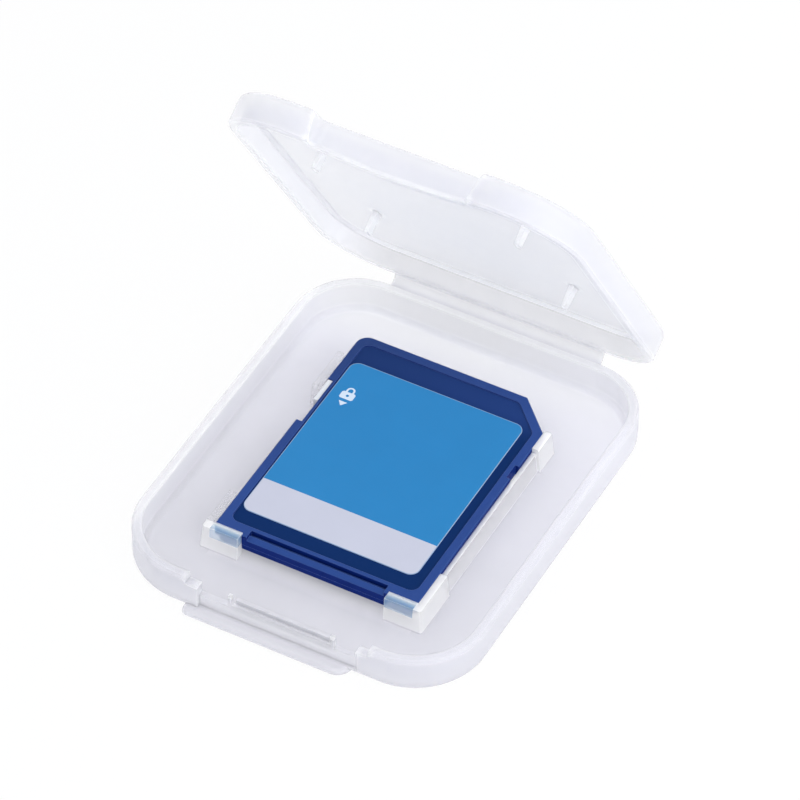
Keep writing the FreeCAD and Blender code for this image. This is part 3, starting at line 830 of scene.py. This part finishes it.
def build_label(work, look):
    """The label as a thin film: cut edge, unprinted border, printed field and bare strip."""
    split = LABEL_LOW.y + look.strip_height
    foot, top = LABEL_LOW.z, LABEL_HIGH.z
    edge = (top - foot) / 4
    rings = []
    for inset, height in ((0, foot), (0, top - edge), (edge, top), (look.border, top)):
        points, splits = label_outline(look.corner, inset, split, height)
        rings.append(ring_of(work, points))
    for first, second in zip(rings, rings[1:]):
        join_rings(work, first, second, paint=2)
    cap(work, list(reversed(rings[0])), paint=2)
    right, left = splits
    inner = rings[-1]
    cap(work, inner[right:left + 1], paint=0)
    cap(work, inner[left:] + inner[:right + 1], paint=1)


def arc(middle, radius, first, last, steps=12):
    """Points on an arc, with its angles in degrees."""
    points = []
    for step in range(steps + 1):
        angle = math.radians(first + (last - first) * step / steps)
        points.append((middle[0] + radius * math.cos(angle), middle[1] + radius * math.sin(angle)))
    return points


def lock_sign_shapes():
    """Outlines of a padlock and of the arrow below it, in units of the padlock's width."""
    top, foot, half, cut = 0.28, -0.38, 0.5, 0.1
    keyhole, shackle, bar = 0.11, 0.3, 0.13
    left = [(0, top), (cut - half, top), (-half, top - cut), (-half, foot + cut), (cut - half, foot)]
    left += [(0, foot)] + arc((0, -0.05), keyhole, 270, 90)
    right = [(-x, y) for x, y in reversed(left)]
    loop_foot = (0, top + 0.17)
    inner = shackle - bar
    loop = [(shackle, top)] + arc(loop_foot, shackle, 0, 180) + [(-shackle, top)]
    loop += [(-inner, top)] + arc(loop_foot, inner, 180, 0) + [(inner, top)]
    arrow = [(-0.32, -0.64), (0, -1.05), (0.32, -0.64)]
    return [left, right, loop, arrow]


def build_lock_sign(work, look):
    """The padlock sign as a film of ink on the label."""
    middle = Vector((LABEL_LOW.x + look.sign_from_left, LABEL_HIGH.y - look.sign_from_back, LABEL_HIGH.z))
    for shape in lock_sign_shapes():
        points = [middle + Vector((x * look.sign_size, y * look.sign_size, 0)) for x, y in shape]
        foot = ring_of(work, points)
        head = ring_of(work, [point + Vector((0, 0, look.ink_height)) for point in points])
        join_rings(work, foot, head)
        cap(work, list(reversed(foot)))
        cap(work, head)


class CARDCASE_OT_frost_mouldings(bpy.types.Operator):
    """Give the tray and the lid their frosted plastic"""

    bl_idname = "card_case.frost_mouldings"
    bl_label = "Frost Tray and Lid"

    def execute(self, context):
        dress(("base_tray", "lid_shell"), frosted_case(context.scene.card_case.case))
        return {"FINISHED"}


class CARDCASE_OT_bend_web(bpy.types.Operator):
    """Make the living hinge as a bent web between the tray and the lid"""

    bl_idname = "card_case.bend_web"
    bl_label = "Bend Living Hinge"

    def execute(self, context):
        look = context.scene.card_case.case
        pairs, start, end = web_section(look.web_thickness, look.web_waist)
        web = mesh_object("hinge_web", lambda work: build_web(work, pairs, look), [frosted_web(look)])
        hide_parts("living_hinge")
        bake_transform(web)
        return {"FINISHED"}


class CARDCASE_OT_dress_card(bpy.types.Operator):
    """Give the card's two shells their textured blue plastic"""

    bl_idname = "card_case.dress_card"
    bl_label = "Dress Card Shells"

    def execute(self, context):
        dress(("card_top_shell", "card_bottom_shell"), card_plastic(context.scene.card_case.card))
        return {"FINISHED"}


class CARDCASE_OT_lay_label(bpy.types.Operator):
    """Lay the label in its recess, with the writing strip and the lock sign"""

    bl_idname = "card_case.lay_label"
    bl_label = "Lay Label"

    def execute(self, context):
        look = context.scene.card_case.card
        field = printed_film("label_field", look.label, 0.4)
        strip = printed_film("label_strip", look.strip, 0.5)
        paper = printed_film("label_edge", look.paper, 0.5)
        label = mesh_object("label_film", lambda work: build_label(work, look), [field, strip, paper])
        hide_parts("card_label")
        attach(label, "base")
        ink = printed_film("label_sign", look.sign, 0.45)
        sign = mesh_object("label_lock_sign", lambda work: build_lock_sign(work, look), [ink])
        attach(sign, "base")
        return {"FINISHED"}


class CARDCASE_OT_dress_slider(bpy.types.Operator):
    """Give the lock slider its pale plastic"""

    bl_idname = "card_case.dress_slider"
    bl_label = "Dress Lock Slider"

    def execute(self, context):
        dress(("write_protect_slider",), slider_plastic(context.scene.card_case.card))
        return {"FINISHED"}


class CARDCASE_OT_dress_board(bpy.types.Operator):
    """Give the circuit board, the chips and the small parts on it their finishes"""

    bl_idname = "card_case.dress_board"
    bl_label = "Dress Circuit Board"

    def execute(self, context):
        dress(("circuit_board",), solder_mask())
        dress(("flash_chip", "controller_chip"), moulded_epoxy())
        dress(("capacitors",), chip_body("capacitor_ceramic", "capacitors", (0.3, 0.19, 0.11)))
        dress(("resistors",), chip_body("resistor_ceramic", "resistors", (0.02, 0.02, 0.022)))
        return {"FINISHED"}


class CARDCASE_OT_plate_contacts(bpy.types.Operator):
    """Plate the nine contacts"""

    bl_idname = "card_case.plate_contacts"
    bl_label = "Plate Contacts"

    def execute(self, context):
        dress(CONTACT_PADS, gold_plate())
        return {"FINISHED"}


def seen_directly(tree):
    """One where a ray comes from the camera, a reflection or through the plastic, otherwise nothing."""
    path = tree.nodes.new("ShaderNodeLightPath")
    share = path.outputs["Is Camera Ray"]
    for name in ("Is Glossy Ray", "Is Transmission Ray"):
        either = tree.nodes.new("ShaderNodeMath")
        either.operation = "MAXIMUM"
        tree.links.new(share, either.inputs[0])
        tree.links.new(path.outputs[name], either.inputs[1])
        share = either.outputs["Value"]
    return share


def studio_world(look):
    """Even light from all round, which looks plain white."""
    world = bpy.data.worlds.new("studio")
    world.use_nodes = True
    tree = world.node_tree
    light = tree.nodes["Background"]
    light.inputs["Color"].default_value = (0.97, 0.98, 1.0, 1)
    light.inputs["Strength"].default_value = look.ambient
    white = tree.nodes.new("ShaderNodeBackground")
    white.inputs["Color"].default_value = (1, 1, 1, 1)
    white.inputs["Strength"].default_value = 1.0
    choose = tree.nodes.new("ShaderNodeMixShader")
    tree.links.new(seen_directly(tree), choose.inputs["Fac"])
    tree.links.new(light.outputs["Background"], choose.inputs[1])
    tree.links.new(white.outputs["Background"], choose.inputs[2])
    tree.links.new(choose.outputs["Shader"], tree.nodes["World Output"].inputs["Surface"])
    return world


def floor_paper(look):
    """White paper that keeps a soft shadow, takes painted shade where it is seen through the case, and looks
    plain white elsewhere.
    """
    finish = Finish("floor_paper")
    tree = finish.tree
    finish.colour(finish.mix(finish.noise(0.05), (0.88, 0.88, 0.88), (0.9, 0.9, 0.9)))
    finish.set(Roughness=0.9, Specular_IOR_Level=0.0)
    white = finish.add("ShaderNodeEmission")
    white.inputs["Strength"].default_value = 1.0
    path = finish.add("ShaderNodeLightPath")
    behind_plastic = finish.math("GREATER_THAN", path.outputs["Transparent Depth"], 0.5)
    low, high = CAD_BOX
    room = Vector((1, 1, 1)) * MM
    # painted shade where the floor is seen through the case
    shade_under_case = finish.product(behind_plastic, finish.inside(low - room, high + room))
    finish.wire(finish.mix(shade_under_case, (1, 1, 1), look.shade_under_case), white.inputs["Color"])
    choose = finish.add("ShaderNodeMixShader")
    finish.wire(finish.product(seen_directly(tree), look.floor_glow), choose.inputs["Fac"])
    finish.wire(finish.shader.outputs["BSDF"], choose.inputs[1])
    finish.wire(white.outputs["Emission"], choose.inputs[2])
    finish.wire(choose.outputs["Shader"], tree.nodes["Material Output"].inputs["Surface"])
    return finish


def build_floor(work, look):
    """A round floor."""
    rim = arc((0, 0), look.floor_radius, 0, 360, 96)[:-1]
    cap(work, ring_of(work, [Vector((x, y, -look.floor_drop)) for x, y in rim]))


def soft_lamp(name, power, size, place):
    """A square lamp that points at the case."""
    data = bpy.data.lights.new(name, "AREA")
    data.energy = power
    data.size = size
    lamp = bpy.data.objects.new(name, data)
    bpy.context.scene.collection.objects.link(lamp)
    lamp.location = place
    lamp.rotation_mode = "QUATERNION"
    lamp.rotation_quaternion = (LAMP_AIM - place).to_track_quat("-Z", "Y")


def studio_camera(look):
    """The camera at the viewing angle of the photograph."""
    data = bpy.data.cameras.new("studio_camera")
    data.lens = look.lens
    data.sensor_width = 36
    data.clip_start = 0.01
    camera = bpy.data.objects.new("studio_camera", data)
    bpy.context.scene.collection.objects.link(camera)
    flat = math.cos(look.elevation)
    back = Vector((math.sin(look.azimuth) * flat, -math.cos(look.azimuth) * flat, math.sin(look.elevation)))
    camera.location = Vector(look.target) + back * look.distance
    camera.rotation_mode = "QUATERNION"
    camera.rotation_quaternion = (-back).to_track_quat("-Z", "Y")
    bpy.context.scene.camera = camera


class CARDCASE_OT_build_studio(bpy.types.Operator):
    """Build the floor, the lamps, the world and the camera"""

    bl_idname = "card_case.build_studio"
    bl_label = "Build Studio"

    def execute(self, context):
        look = context.scene.card_case.studio
        context.scene.world = studio_world(look)
        context.scene.view_settings.view_transform = "Standard"
        paper = floor_paper(look)
        floor = mesh_object("studio_floor", lambda work: build_floor(work, look), [paper], closed=False)
        soft_lamp("key_lamp", look.key, KEY_SIZE, KEY_PLACE)
        soft_lamp("fill_lamp", look.fill, FILL_SIZE, FILL_PLACE)
        studio_camera(look)
        return {"FINISHED"}


OPERATORS = (
    CARDCASE_OT_frost_mouldings,
    CARDCASE_OT_bend_web,
    CARDCASE_OT_dress_card,
    CARDCASE_OT_lay_label,
    CARDCASE_OT_dress_slider,
    CARDCASE_OT_dress_board,
    CARDCASE_OT_plate_contacts,
    CARDCASE_OT_build_studio,
)


class CARDCASE_PT_panel(bpy.types.Panel):
    """Sizes, colours and steps of the card case"""

    bl_idname = "CARDCASE_PT_panel"
    bl_label = "Memory Card Case"
    bl_space_type = "VIEW_3D"
    bl_region_type = "UI"
    bl_category = "Card Case"

    def draw(self, context):
        look = context.scene.card_case
        for group in (look.case, look.card, look.studio):
            column = self.layout.box().column()
            for name in group.__annotations__:
                column.prop(group, name)
        for operator in OPERATORS:
            self.layout.operator(operator.bl_idname)


CLASSES = (CaseFinish, CardFinish, StudioLook, CardCaseLook, *OPERATORS, CARDCASE_PT_panel)


def register():
    """Adds the classes and the scene's settings."""
    for item in CLASSES:
        bpy.utils.register_class(item)
    bpy.types.Scene.card_case = PointerProperty(type=CardCaseLook)


def unregister():
    """Takes them away again."""
    del bpy.types.Scene.card_case
    for item in reversed(CLASSES):
        bpy.utils.unregister_class(item)


def main():
    """Builds everything in order."""
    register()
    bpy.ops.card_case.frost_mouldings()
    bpy.ops.card_case.bend_web()
    bpy.ops.card_case.dress_card()
    bpy.ops.card_case.lay_label()
    bpy.ops.card_case.dress_slider()
    bpy.ops.card_case.dress_board()
    bpy.ops.card_case.plate_contacts()
    bpy.ops.card_case.build_studio()


if __name__ == "__main__":
    main()
